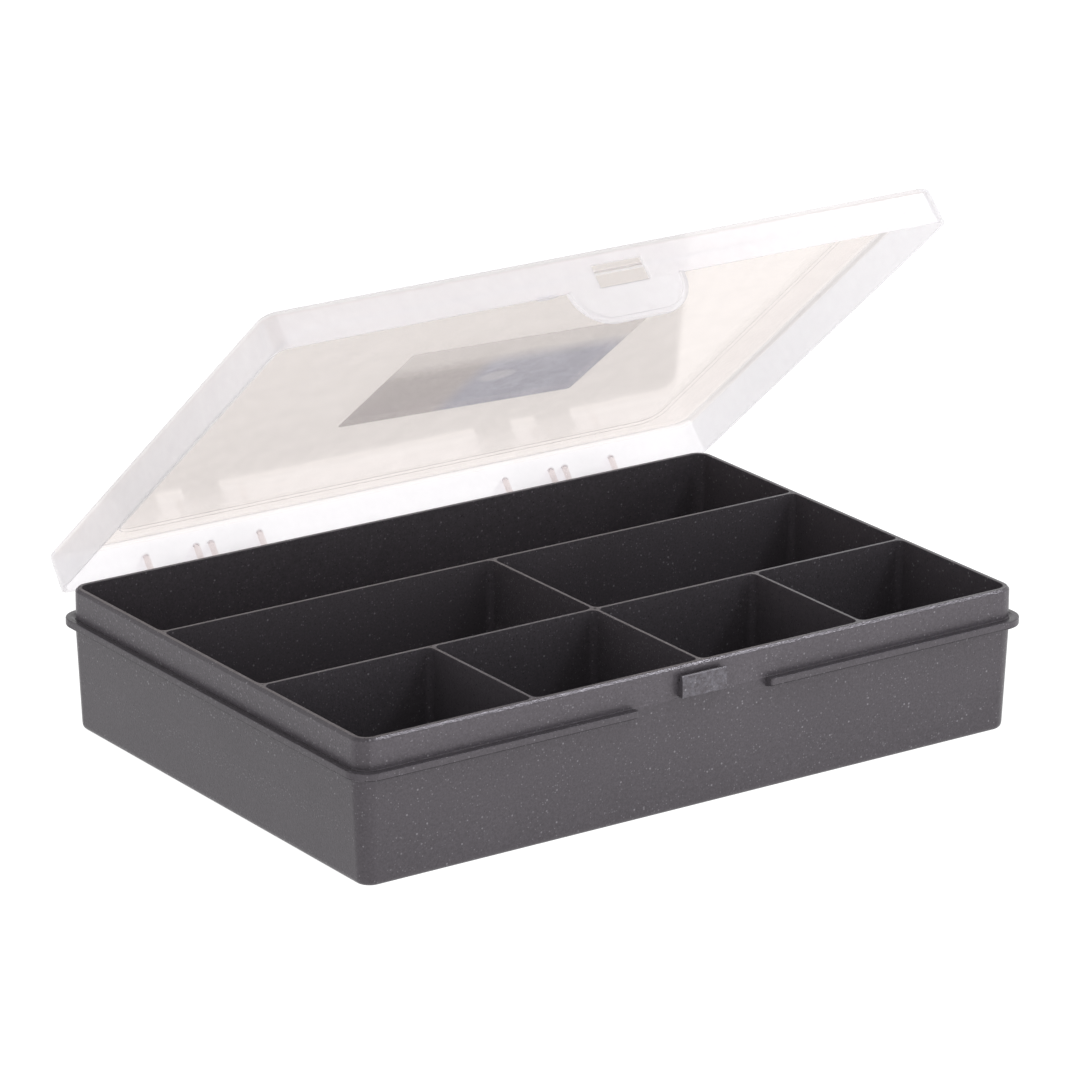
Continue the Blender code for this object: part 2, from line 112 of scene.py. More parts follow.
TONGUE_SLIT = 0.02 * MM
TONGUE_BACK = 2.6 * MM
CUT_REACH = 5 * MM
WINDOW_REACH = 8 * MM
RECESS_REACH = 3 * MM
LIP_WIDTH = 1.9 * MM
LIP_PROUD = 0.9 * MM
WINDOW_HALF = 10.65 * MM
WINDOW_LOW = -0.2 * MM
WINDOW_HIGH = 8.9 * MM
TAB_X = -32.6 * MM
TAB_HALF = 4.4 * MM
TAB_REACH = 1.75 * MM
LABEL_SIZE = (107.0 * MM, 58.0 * MM)
LABEL_TURN = 4.5
LABEL_CORNER = 1.5 * MM
LABEL_THICKNESS = 0.12 * MM
LABEL_LIFT = 0.03 * MM

CORNER_STEPS = 12
STEP_RUN = 0.8 * MM
FROSTED, CLEAR, STEP, JOINED, ARM = range(5)
CREAM = (1.0, 0.968, 0.954, 1)
COOL = (1.0, 0.990, 0.998, 1)
MILK = (0.95, 0.945, 0.965, 1)
ROUND_STEPS = 5


# ---------------------------------------------------------------- shapes

def ring(size, z, inset=0.0, centre_y=0.0, steps=CORNER_STEPS):
    """Points of a rounded rectangle at height z, counter-clockwise from the +X side."""
    length, depth, corner = size
    radius = max(corner - inset, 0.4 * MM)
    half_x = length / 2 - inset - radius
    half_y = depth / 2 - inset - radius
    points = []
    for quarter, (sx, sy) in enumerate(((1, 1), (-1, 1), (-1, -1), (1, -1))):
        for step in range(steps + 1):
            turn = math.radians(90 * (quarter + step / steps))
            points.append(Vector((sx * half_x + radius * math.cos(turn),
                                  sy * half_y + radius * math.sin(turn) + centre_y, z)))
    return points


def eased(stations):
    """Rings of points for (ring, rounding) stations, each rounded station eased by a curve."""
    rings = []
    for index, (points, rounding) in enumerate(stations):
        if rounding == 0.0 or index in (0, len(stations) - 1):
            rings.append(points)
            continue
        before = stations[index - 1][0]
        after = stations[index + 1][0]
        back = min(rounding / (before[0] - points[0]).length, 0.49)
        ahead = min(rounding / (after[0] - points[0]).length, 0.49)
        for step in range(ROUND_STEPS + 1):
            t = step / ROUND_STEPS
            eased_ring = []
            for a, p, c in zip(before, points, after):
                start = p + (a - p) * back
                end = p + (c - p) * ahead
                eased_ring.append(start * (1 - t) ** 2 + p * (2 * t * (1 - t)) + end * t ** 2)
            rings.append(eased_ring)
    return rings


def loft(mesh, rings, around=True, capped=True, slots=None):
    """Skins rings of points into the mesh. slots gives each band's material slot."""
    rows = [[mesh.verts.new(point) for point in points] for points in rings]
    count = len(rows[0])
    for band, (lower, upper) in enumerate(zip(rows, rows[1:])):
        for i in range(count if around else count - 1):
            j = (i + 1) % count
            face = mesh.faces.new((lower[i], lower[j], upper[j], upper[i]))
            face.material_index = slots[band] if slots else 0
    if capped:
        first = mesh.faces.new(list(reversed(rows[0])))
        last = mesh.faces.new(rows[-1])
        if slots:
            first.material_index = slots[0]
            last.material_index = slots[-1]
    return rows


def arc(centre, radius, start_deg, end_deg, steps):
    points = []
    for step in range(steps + 1):
        turn = math.radians(start_deg + (end_deg - start_deg) * step / steps)
        points.append((centre[0] + radius * math.cos(turn), centre[1] + radius * math.sin(turn)))
    return points


def prism_x(mesh, outline, low_x, high_x, ease=0.0):
    """An outline of (y, z) points extruded along X, with its two ends slightly eased."""
    middle_y = sum(y for y, _ in outline) / len(outline)
    middle_z = sum(z for _, z in outline) / len(outline)
    rings = []
    for x, shrink in ((low_x, ease), (low_x + ease, 0.0), (high_x - ease, 0.0), (high_x, ease)):
        scale = 1.0 - shrink / (6 * MM)
        rings.append([Vector((x, middle_y + (y - middle_y) * scale,
                              middle_z + (z - middle_z) * scale)) for y, z in outline])
    if ease == 0.0:
        rings = rings[1:3]
    loft(mesh, rings)


def piece(name, mesh, surfaces):
    """A named mesh piece with its surfaces in its material slots."""
    bmesh.ops.recalc_face_normals(mesh, faces=mesh.faces)
    data = bpy.data.meshes.new(name)
    mesh.to_mesh(data)
    mesh.free()
    for surface in surfaces:
        data.materials.append(surface)
    made = bpy.data.objects.new(name, data)
    bpy.context.scene.collection.objects.link(made)
    return made


def settle(target, turn=None, sharp_deg=29.0):
    """Turns a finished mesh into place, smooth on its rounds and true on its flats."""
    if turn is not None:
        target.data.transform(turn)
    target.data.shade_smooth()
    target.data.set_sharp_from_angle(angle=math.radians(sharp_deg))
    flats = target.modifiers.new("true_flats", "WEIGHTED_NORMAL")
    flats.weight = 80
    flats.keep_sharp = True


def apply_cuts(target, cutters):
    """Takes the cutters out of the target for good, and removes them."""
    for cutter in cutters:
        modifier = target.modifiers.new("cut", "BOOLEAN")
        modifier.operation = "DIFFERENCE"
        modifier.solver = "EXACT"
        modifier.object = cutter
    bpy.context.view_layer.update()
    shape = target.evaluated_get(bpy.context.evaluated_depsgraph_get())
    data = bpy.data.meshes.new_from_object(shape)
    target.modifiers.clear()
    target.data = data
    for cutter in cutters:
        bpy.data.objects.remove(cutter, do_unlink=True)


def box_cutter(name, low, high):
    mesh = bmesh.new()
    bmesh.ops.create_cube(mesh, size=1.0)
    size = Vector(high) - Vector(low)
    middle = (Vector(high) + Vector(low)) / 2
    for vert in mesh.verts:
        vert.co = Vector(a * b for a, b in zip(vert.co, size)) + middle
    return piece(name, mesh, [])


def retouch(target, slot, chosen):
    """Gives a material slot to the faces whose centre and normal are chosen."""
    for face in target.data.polygons:
        if chosen(face.center, face.normal):
            face.material_index = slot


# ---------------------------------------------------------------- materials

class Nodes:
    """A material's node tree with short ways to add and join nodes."""

    def __init__(self, name):
        self.material = bpy.data.materials.new(name)
        self.material.use_nodes = True
        self.tree = self.material.node_tree
        self.tree.nodes.clear()

    def add(self, kind, settings=None, **inputs):
        node = self.tree.nodes.new(kind)
        for key, value in (settings or {}).items():
            setattr(node, key, value)
        for key, value in inputs.items():
            self.put(node, key.replace("_", " "), value)
        return node

    def put(self, node, socket, value):
        target = node.inputs[int(socket)] if socket.isdigit() else node.inputs[socket]
        if isinstance(value, bpy.types.NodeSocket):
            self.tree.links.new(value, target)
        else:
            target.default_value = value

    def place(self):
        return self.add("ShaderNodeTexCoord").outputs["Object"]

    def noise(self, scale, detail=2.0, roughness=0.5):
        node = self.add("ShaderNodeTexNoise", Vector=self.place(), Scale=scale, Detail=detail,
                        Roughness=roughness)
        return node.outputs["Fac"]

    def ramp(self, value, low, high, out_low=0.0, out_high=1.0):
        node = self.add("ShaderNodeMapRange", Value=value)
        for socket, number in zip(("From Min", "From Max", "To Min", "To Max"),
                                  (low, high, out_low, out_high)):
            node.inputs[socket].default_value = number
        return node.outputs["Result"]

    def maths(self, operation, a, b):
        node = self.add("ShaderNodeMath", {"operation": operation})
        self.put(node, "0", a)
        self.put(node, "1", b)
        return node.outputs[0]

    def blend(self, fac, a, b):
        node = self.add("ShaderNodeMix", {"data_type": "RGBA"})
        for socket, value in ((0, fac), (6, a), (7, b)):
            if isinstance(value, bpy.types.NodeSocket):
                self.tree.links.new(value, node.inputs[socket])
            else:
                node.inputs[socket].default_value = value
        return node.outputs[2]

    def mix(self, share, a, b):
        """Mixes two shaders: share is how much of the second one shows."""
        node = self.add("ShaderNodeMixShader", Fac=share)
        self.tree.links.new(a, node.inputs[1])
        self.tree.links.new(b, node.inputs[2])
        return node.outputs[0]

    def bump(self, height, distance):
        return self.add("ShaderNodeBump", Height=height, Distance=distance).outputs["Normal"]

    def finish(self, shader):
        end = self.add("ShaderNodeOutputMaterial")
        self.tree.links.new(shader, end.inputs["Surface"])
        return self.material


def dark_plastic(name, lightness=1.0, scuffed=0.0, shine=1.0, softness=1.0):
    """Charcoal moulded plastic: spark texture, two sizes of pale fleck, soft clouding and scuffs."""
    n = Nodes(name)
    flecks = None
    for scale, reach, rare, strength in ((480.0, 0.22, 0.80, 0.46), (980.0, 0.30, 0.72, 0.30)):
        cells = n.add("ShaderNodeTexVoronoi", Vector=n.place(), Scale=scale)
        dot = n.ramp(cells.outputs["Distance"], reach * 0.6, reach, 1.0, 0.0)
        pick = n.add("ShaderNodeSeparateColor", Color=cells.outputs["Color"])
        chosen = n.ramp(pick.outputs[0], rare, rare + 0.14)
        layer = n.maths("MULTIPLY", n.maths("MULTIPLY", dot, chosen), strength)
        flecks = layer if flecks is None else n.maths("MAXIMUM", flecks, layer)
    cloud = n.ramp(n.noise(28.0, 3.0), 0.3, 0.7)
    speckle = n.ramp(n.noise(1150.0, 3.0, 0.7), 0.36, 0.66)
    shades = [n.blend(cloud, *(tuple(c * level * lightness for c in PLASTIC_TINT) + (1,)
                               for level in (low, low * 1.1)))
              for low in (0.041, 0.061)]
    base = n.blend(speckle, *shades)
    worn = n.ramp(n.noise(520.0, 5.0, 0.7), 0.42, 0.66, 0.0, scuffed)
    base = n.blend(worn, base, (0.20, 0.20, 0.23, 1))
    colour = n.blend(flecks, base, (0.30, 0.29, 0.31, 1))
    fine = n.noise(1500.0, 2.0)
    wear = n.ramp(n.noise(260.0, 4.0, 0.65), 0.62, 0.78)
    roughness = n.maths("ADD", n.ramp(fine, 0.3, 0.7, 0.27 * softness, 0.38 * softness),
                        n.maths("MULTIPLY", wear, 0.1 * softness))
    normal = n.bump(fine, 0.07 * MM)
    shader = n.add("ShaderNodeBsdfPrincipled", Roughness=roughness, Normal=normal)
    n.put(shader, "Base Color", colour)
    n.put(shader, "Specular IOR Level", 0.37 * shine)
    n.put(shader, "Specular Tint", (1.0, 0.93, 0.99, 1.0))
    return n.finish(shader.outputs[0])


def clear_plastic(name, body_colour, tint, clarity, gloss, gloss_roughness, grain):
    """Milky translucent plastic: part clear, part glowing through, with its own surface gloss."""
    n = Nodes(name)
    cloud = n.ramp(n.noise(22.0, 3.0), 0.3, 0.7)
    dimmer = tuple(c * 0.975 for c in body_colour[:3]) + (1,)
    colour = n.blend(cloud, body_colour, dimmer)
    fine = n.noise(1900.0, 3.0)
    normal = n.bump(fine, grain)
    diffuse = n.add("ShaderNodeBsdfDiffuse", Color=colour, Normal=normal)
    through = n.add("ShaderNodeBsdfTranslucent", Color=colour, Normal=normal)
    milk = n.mix(0.6, diffuse.outputs[0], through.outputs[0])
    clear = n.add("ShaderNodeBsdfTransparent", Color=tint)
    haze = n.ramp(n.noise(90.0, 4.0), 0.3, 0.7, clarity - 0.02, clarity + 0.02)
    body = n.mix(haze, milk, clear.outputs[0])
    roughness = n.ramp(fine, 0.3, 0.7, gloss_roughness * 0.85, gloss_roughness * 1.15)
    shine = n.add("ShaderNodeBsdfGlossy", Roughness=roughness, Normal=normal)
    fresnel = n.add("ShaderNodeFresnel", IOR=1.45)
    share = n.maths("MULTIPLY", fresnel.outputs[0], gloss)
    return n.finish(n.mix(share, body, shine.outputs[0]))


def label_card():
    """A printed film sticker: a pale head strip, a brown picture, a blue field and an oval."""
    n = Nodes("label_print")
    where = n.add("ShaderNodeSeparateXYZ", Vector=n.place())
    across, up = where.outputs[0], where.outputs[1]
    half = LABEL_SIZE[1] / 2
    picture = n.ramp(across, -12.0 * MM, -4.0 * MM, 1.0, 0.0)
    strip = n.ramp(up, -half * 0.60, -half * 0.20, 1.0, 0.0)
    mottle = n.ramp(n.noise(420.0, 5.0, 0.7), 0.35, 0.65)
    brown = n.blend(mottle, (0.80, 0.792, 0.80, 1), (0.865, 0.857, 0.865, 1))
    sweep = n.ramp(n.noise(60.0, 2.0), 0.3, 0.7)
    blue = n.blend(sweep, (0.79, 0.81, 0.865, 1), (0.86, 0.88, 0.935, 1))
    blue = n.blend(n.maths("MULTIPLY", mottle, 0.35), blue, (0.66, 0.66, 0.72, 1))
    field = n.blend(picture, blue, brown)
    ox = n.maths("DIVIDE", n.maths("SUBTRACT", across, 4.0 * MM), 9.0 * MM)
    oy = n.maths("DIVIDE", n.maths("SUBTRACT", up, 4.0 * MM), 4.5 * MM)
    reach = n.maths("ADD", n.maths("MULTIPLY", ox, ox), n.maths("MULTIPLY", oy, oy))
    oval = n.ramp(reach, 0.5, 1.1, 1.0, 0.0)
    field = n.blend(n.maths("MULTIPLY", oval, 0.4), field, (0.98, 0.98, 0.99, 1))
    colour = n.blend(strip, field, (0.97, 0.97, 0.97, 1))
    fibre = n.noise(3000.0, 3.0)
    normal = n.bump(fibre, 0.02 * MM)
    printed = n.add("ShaderNodeBsdfPrincipled", Roughness=n.ramp(fibre, 0.3, 0.7, 0.38, 0.5),
                    Normal=normal)
    n.put(printed, "Base Color", colour)
    glow = n.add("ShaderNodeBsdfTranslucent", Color=colour, Normal=normal)
    backlit = n.mix(0.6, printed.outputs[0], glow.outputs[0])
    tint = n.add("ShaderNodeBsdfTransparent", Color=colour)
    return n.finish(n.mix(0.76, backlit, tint.outputs[0]))


def floor_surface():
    """Pale matte studio sweep with a trace of tone, lifted by its glow so that it reads as white; the glow is
    painted light, stronger in front of the tray and weaker to its left.
    """
    n = Nodes("studio_floor")
    tone = n.blend(n.ramp(n.noise(3.0), 0.3, 0.7), (0.115, 0.115, 0.115, 1), (0.125, 0.125, 0.125, 1))
    shader = n.add("ShaderNodeBsdfPrincipled", Roughness=0.9)
    n.put(shader, "Base Color", tone)
    n.put(shader, "Specular IOR Level", 0.1)
    n.put(shader, "Emission Color", (1, 1, 1, 1))
    where = n.add("ShaderNodeSeparateXYZ", Vector=n.place())
    # Painted light: the floor's glow is stronger in front of the tray and weaker to its left, so it lights the
    # tray's front wall more and its left side less.
    ahead = n.ramp(where.outputs[1], -0.17, -0.08, 1.58, 1.03)
    aside = n.ramp(where.outputs[0], -0.22, -0.12, 0.90, 1.0)
    n.put(shader, "Emission Strength", n.maths("MULTIPLY", ahead, aside))
    return n.finish(shader.outputs[0])


# ---------------------------------------------------------------- tray

def inner_half(rim_length, base_length, z):
    """Half the clear width between two opposite inner walls at height z."""
    top = rim_length / 2 - RIM_EDGE - RIM_WALL
    foot = base_length / 2 - LOWER_WALL
    return foot + (top - foot) * (z - FLOOR) / (TRAY_TOP - FLOOR)


def inner_x(z):
    return inner_half(RIM_SIZE[0], BASE_SIZE[0], z)


def inner_y(z):
    return inner_half(RIM_SIZE[1], BASE_SIZE[1], z)


def divider_half(z):
    """Half the thickness of a divider at height z: it thins towards its top."""
    share = (z - FLOOR) / (TRAY_TOP - FLOOR)
    return DIVIDER_FOOT + (DIVIDER_TOP - DIVIDER_FOOT) * share


def add_tray_shell(mesh):
    """Floor, walls and rim as one skin, from under the base round to the inside of the floor."""
    seam = LEDGE_TOP - SEAM_BELOW
    stations = [
        (ring(BASE_SIZE, 0.0, MIDDLE_INSET), 0.0),
        (ring(BASE_SIZE, 0.0), BASE_FILLET),
        (ring(WALL_SIZE, LEDGE_TOP - LEDGE_FACE), 0.0),
        (ring(WALL_SIZE, seam), SEAM_ROUND),
        (ring(RIM_SIZE, seam + SEAM_RISE), 0.0),
        (ring(RIM_SIZE, TRAY_TOP - RIM_DROP), 0.3 * MM),
        (ring(RIM_SIZE, TRAY_TOP, RIM_EDGE), 0.2 * MM),
        (ring(RIM_SIZE, TRAY_TOP, RIM_EDGE + RIM_WALL), 0.25 * MM),
        (ring(BASE_SIZE, FLOOR, LOWER_WALL), FLOOR_FILLET),
        (ring(BASE_SIZE, FLOOR, LOWER_WALL + MIDDLE_INSET), 0.0),
    ]
    loft(mesh, eased(stations))


def front_columns(points, start_x, end_x, depth_edge):
    """Ring points with the straight front edge opened between two x positions."""
    quarter = CORNER_STEPS + 1
    turned = points[3 * quarter:] + points[:3 * quarter]
    y, z = -depth_edge, points[0].z
    first = [Vector((x, y, z)) for x in start_x]
    last = [Vector((x, y, z)) for x in end_x]
    return first + turned + last


def add_ledge(mesh):
    """The ledge the lid's skirt meets, open at the front where the tongue comes down."""
    size = (LEDGE_SIZE[0], LEDGE_SIZE[1], LEDGE_CORNER)
    low = LEDGE_TOP - LEDGE_FACE
    stations = [
        (size, low + 0.4 * MM, 4.5 * MM, 0.0),
        (WALL_SIZE, low - LEDGE_SLOPE, 0.0, 0.0),
        (size, low, 0.0, 0.45 * MM),
        (size, LEDGE_TOP, 0.0, 0.4 * MM),
        (size, LEDGE_TOP, 2.3 * MM, 0.5 * MM),
        (RIM_SIZE, LEDGE_TOP - LEDGE_GROOVE, 0.0, 0.0),
        (size, LEDGE_TOP - LEDGE_GROOVE, 4.6 * MM, 0.0),
    ]
    steps = [0.0, 0.25 * MM, 0.6 * MM, 1.2 * MM, 2.2 * MM, 3.4 * MM]
    start_x = [LEDGE_GAP / 2 + step for step in steps]
    end_x = [-LEDGE_GAP / 2 - step for step in reversed(steps)]
    opened = []
    for kind, z, inset, rounding in stations:
        points = ring(kind, z, inset)
        opened.append((front_columns(points, start_x, end_x, kind[1] / 2 - inset), rounding))
    rings = eased(opened)
    wall_y = -RIM_SIZE[1] / 2
    squared = (0.86, 0.97, 1.0, 1.0, 1.0, 1.0)
    tapered = (0.80, 0.92, 0.97, 1.0, 1.0, 1.0)
    for points in rings:
        for i, share in enumerate(squared):
            points[i].y = wall_y + (points[i].y - wall_y) * share
        for i, share in enumerate(tapered):
            points[-1 - i].y = wall_y + (points[-1 - i].y - wall_y) * share
    columns = [list(column) for column in zip(*rings)]
    loft(mesh, columns)


def add_divider(mesh, start, end):
    """A thin wall between two (x, y) points, with a filleted foot and an eased top edge."""
    along = (Vector(end) - Vector(start)).normalized()
    side = Vector((-along.y, along.x))
    high = TRAY_TOP - DIVIDER_SINK
    profile = [(FLOOR - DIVIDER_ROOT, divider_half(FLOOR) + FOOT_ROUND)]
    for step in range(ROUND_STEPS + 1):
        turn = math.radians(90 * step / ROUND_STEPS)
        z = FLOOR + FOOT_ROUND * (1 - math.cos(turn))
        profile.append((z, divider_half(z) + FOOT_ROUND * (1 - math.sin(turn))))
    for step in range(ROUND_STEPS + 1):
        turn = math.radians(90 * step / ROUND_STEPS)
        z = high - DIVIDER_EASE * (1 - math.sin(turn))
        profile.append((z, divider_half(z) - DIVIDER_EASE * (1 - math.cos(turn))))
    rings = []
    for z, half in profile:
        corners = (Vector(start) - side * half, Vector(end) - side * half,
                   Vector(end) + side * half, Vector(start) + side * half)
        rings.append([Vector((c.x, c.y, z)) for c in corners])
    loft(mesh, rings)


def add_junction(mesh, corner_at, sx, sy):
    """The vertical fillet in one inside corner. corner_at gives the corner's (x, y) at height z."""
    high = TRAY_TOP - JUNCTION_SINK
    rings = []
    for z, radius in ((FLOOR - 0.4 * MM, JUNCTION_ROUND), (high - 0.4 * MM, JUNCTION_ROUND),
                      (high - 0.12 * MM, JUNCTION_ROUND * 0.97), (high, JUNCTION_ROUND * 0.88)):
        x, y = corner_at(z)
        points = [(-BURY, -BURY), (radius, -BURY)]
        points += [(radius + radius * math.cos(t), radius + radius * math.sin(t))
                   for t in [math.radians(270 - 90 * k / 8) for k in range(9)]]
        points += [(-BURY, radius)]
        rings.append([Vector((x + sx * px, y + sy * py, z)) for px, py in points])
    loft(mesh, rings)


def add_dividers(mesh):
    """Two long walls and four cross walls, with a fillet in every inside corner."""
    reach_x = inner_x(FLOOR) + BURY
    reach_y = inner_y(FLOOR) + BURY
    for y in (REAR_Y, FRONT_Y):
        add_divider(mesh, (-reach_x, y), (reach_x, y))
        for sx in (-1, 1):
            for sy in (-1, 1):
                add_junction(mesh, lambda z, s=sx, t=sy, y=y: (-s * inner_x(z), y + t * divider_half(z)),
                             sx, sy)
    crossings = [(MIDDLE_X, FRONT_Y, REAR_Y)]
    crossings += [(x, -reach_y, FRONT_Y) for x in FRONT_XS]
    for x, low_y, high_y in crossings:
        add_divider(mesh, (x, low_y), (x, high_y))
        for sx in (-1, 1):
            def lower(z, s=sx, x=x, y=low_y):
                foot = -inner_y(z) if y < FRONT_Y else y + divider_half(z)
                return (x + s * divider_half(z), foot)

            def upper(z, s=sx, x=x, y=high_y):
                return (x + s * divider_half(z), y - divider_half(z))

            add_junction(mesh, lower, sx, 1)
            add_junction(mesh, upper, sx, -1)


def add_catch(mesh):
    """The block under the front rim: a ramped nose with a slot behind its top edge."""
    low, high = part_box("catch")
    back = high.y + CATCH_ROOT
    front = low.y
    slot = high.y - CATCH_SLOT_WIDTH
    slot_floor = high.z - CATCH_SLOT_DEPTH
    outline = [(back, low.z), (back, slot_floor), (slot, slot_floor),
               (slot, high.z - 0.2 * MM), (slot - 0.25 * MM, high.z),
               (front + CATCH_CREST_RUN, high.z), (front + CATCH_EASE, high.z - CATCH_CREST_DROP),
               (front, high.z - CATCH_RAMP_DROP), (front, low.z + CATCH_EASE),
               (front + CATCH_EASE, low.z)]
    prism_x(mesh, list(reversed(outline)), low.x, high.x, CATCH_END_ROUND)


def add_hook(mesh, node):
    """A bracket under the rear ledge that ends in an open cup round the lid's pin."""
    low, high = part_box(node)
    inner = PIN_RADIUS + PIN_PLAY
    outer = inner + HOOK_WALL
    centre = (HINGE.y, HINGE.z)
    wall_y = WALL_SIZE[1] / 2 - HOOK_ROOT
    ledge_low = LEDGE_TOP - LEDGE_FACE
    ledge_y = LEDGE_SIZE[1] / 2 - 0.8 * MM
    outline = [(wall_y, low.z), (wall_y + HOOK_FOOT, low.z)]
    outline += arc(centre, outer, 300.0, MOUTH_END, 12)
    outline += arc(centre, inner, MOUTH_END, MOUTH_START, 36)
    outline += arc(centre, outer, MOUTH_START, 205.0, 14)
    outline += [(ledge_y, LEDGE_TOP - 0.4 * MM), (ledge_y, ledge_low + 0.2 * MM),
                (wall_y, ledge_low - LEDGE_SLOPE)]
    prism_x(mesh, outline, low.x, high.x)


def mark_plastic(tray):
    """Gives the catch its rubbed finish and paints light and shade on the tray: painted shade under the ledge's
    face, a painted lighter band on the rim's outer wall, and painted highlights on the rim's worn outer edge and
    on the front seam's top.
    """
    ledge_low = LEDGE_TOP - LEDGE_FACE
    catch_low, catch_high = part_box("catch")

    # Painted shade: a darker copy of the plastic on the faces along the ledge's lower edge, where the ledge shades
    # the wall beneath it.
    def under_ledge_shade(at, way):
        outside = abs(at.y) > WALL_SIZE[1] / 2 + 2 * MM or abs(at.x) > WALL_SIZE[0] / 2 + 2 * MM
        return outside and way.z < -0.08 and abs(at.z - ledge_low) < 0.9 * MM

    # Painted highlight: the rim's outer bevel, only on the sides facing the key light, and the top of the seam in
    # the front gap get a lighter, smoother copy of the plastic.
    def highlighted_worn_edge(at, way):
        bevel = TRAY_TOP - RIM_DROP - 0.1 * MM < at.z < TRAY_TOP and 0.3 < way.z < 0.93
        outer = abs(at.y) > RIM_SIZE[1] / 2 - RIM_EDGE or abs(at.x) > RIM_SIZE[0] / 2 - RIM_EDGE
        seam = abs(at.z - LEDGE_TOP) < 0.4 * MM and way.z > 0.1 and abs(at.x) < LEDGE_GAP / 2
        lit = way.x > -0.3
        return (bevel and outer and lit) or (seam and at.y < -RIM_SIZE[1] / 2 + 0.3 * MM)

    # Painted light: the rim's outer upright wall above the ledge gets a lighter copy of the plastic than the wall
    # below the ledge.
    def rim_light_band(at, way):
        upright = LEDGE_TOP + 0.3 * MM < at.z < TRAY_TOP - RIM_DROP and abs(way.z) < 0.3
        near_side = -0.2 * MM < abs(at.x) - RIM_SIZE[0] / 2 + 0.2 * MM and way.x * at.x > 0
        near_end = -0.2 * MM < abs(at.y) - RIM_SIZE[1] / 2 + 0.2 * MM and way.y * at.y > 0
        on_rim = abs(at.y) < RIM_SIZE[1] / 2 + 0.1 * MM
        return upright and on_rim and (near_side or near_end)

    def rubbed(at, way):
        return (way.y < -0.5 and abs(at.x) < catch_high.x and catch_low.z < at.z < catch_high.z
                and at.y < catch_low.y + 0.8 * MM)

    retouch(tray, RIM_LIGHT_BAND, rim_light_band)
    retouch(tray, PAINTED_SHADE, under_ledge_shade)
    retouch(tray, SCUFFED, rubbed)
    retouch(tray, POLISH_AND_HIGHLIGHT, highlighted_worn_edge)


def make_tray(surfaces):
    mesh = bmesh.new()
    add_tray_shell(mesh)
    add_ledge(mesh)
    add_dividers(mesh)
    add_catch(mesh)
    hooks = [name for name in frame["nodes"] if name.startswith("hinge_hook_")]
    for name in sorted(hooks):
        add_hook(mesh, name)
    tray = piece("tray_moulding", mesh, surfaces)
    mark_plastic(tray)
    settle(tray)
    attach(tray, "tray")
    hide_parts(*TRAY_NODES)


# ---------------------------------------------------------------- lid

def lid_ring(size, z, inset=0.0):
    shift = RECESS_SHIFT if size is RECESS_SIZE else LID_SHIFT
    return ring(size, z, inset, shift)


def add_lid_skin(mesh):
    """Recessed panel, border, rounded edge and skirt, outside and inside, as one skin."""
    top = LID_BOTTOM + LID_HEIGHT
    under = top - PANEL
    inner = LID_DRAFT + LID_WALL
    stations = [
        (lid_ring(RECESS_SIZE, top - RECESS, MIDDLE_INSET), 0.0, CLEAR),
        (lid_ring(RECESS_SIZE, top - RECESS), STEP_ROUND, STEP),
        (lid_ring(RECESS_SIZE, top, -STEP_RUN), STEP_ROUND, CLEAR),
        (lid_ring(LID_SIZE, top, LID_DRAFT), LID_EDGE_ROUND, FROSTED),
        (lid_ring(LID_SIZE, LID_BOTTOM), LID_FOOT_ROUND, FROSTED),
        (lid_ring(LID_SIZE, LID_BOTTOM, LID_WALL), LID_FOOT_ROUND, FROSTED),
        (lid_ring(LID_SIZE, under, inner), LID_INNER_ROUND, CLEAR),
        (lid_ring(RECESS_SIZE, under, -STEP_RUN), STEP_ROUND, STEP),
        (lid_ring(RECESS_SIZE, under - RECESS), STEP_ROUND, CLEAR),
        (lid_ring(RECESS_SIZE, under - RECESS, MIDDLE_INSET), 0.0, CLEAR),
    ]
    rings = eased([station[:2] for station in stations])
    slots = [slot for _, rounding, slot in stations[:-1]
             for _ in range(ROUND_STEPS + 1 if rounding else 1)]
    loft(mesh, rings, slots=slots)


def add_hinge_loops(mesh):
    """Four pairs of arms behind the skirt, each pair joined by a round pin."""
    root = LID_SHIFT + LID_SIZE[1] / 2 - 0.7 * MM
    outline = [(root, LID_BOTTOM + 0.2 * MM)]
    outline += arc((HINGE.y, HINGE.z), ARM_END_RADIUS, 250.0, 445.0, 20)
    outline += [(root + 3.0 * MM, LID_BOTTOM + ARM_RISE - 0.4 * MM), (root, LID_BOTTOM + ARM_RISE)]
    pin = arc((HINGE.y, HINGE.z), PIN_RADIUS, 0.0, 345.0, 23)
    for side in (-1, 1):
        for pair in ARM_PAIRS:
            for x in pair:
                prism_x(mesh, outline, side * x - ARM_WIDTH / 2, side * x + ARM_WIDTH / 2, 0.25 * MM)
            near, far = sorted(side * x for x in pair)
            prism_x(mesh, pin, near, far)


def back_wall(z):
    """Y of the rear skirt's inner face at height z."""
    return LID_SHIFT + LID_SIZE[1] / 2 - LID_WALL - LID_DRAFT * (z - LID_BOTTOM) / LID_HEIGHT


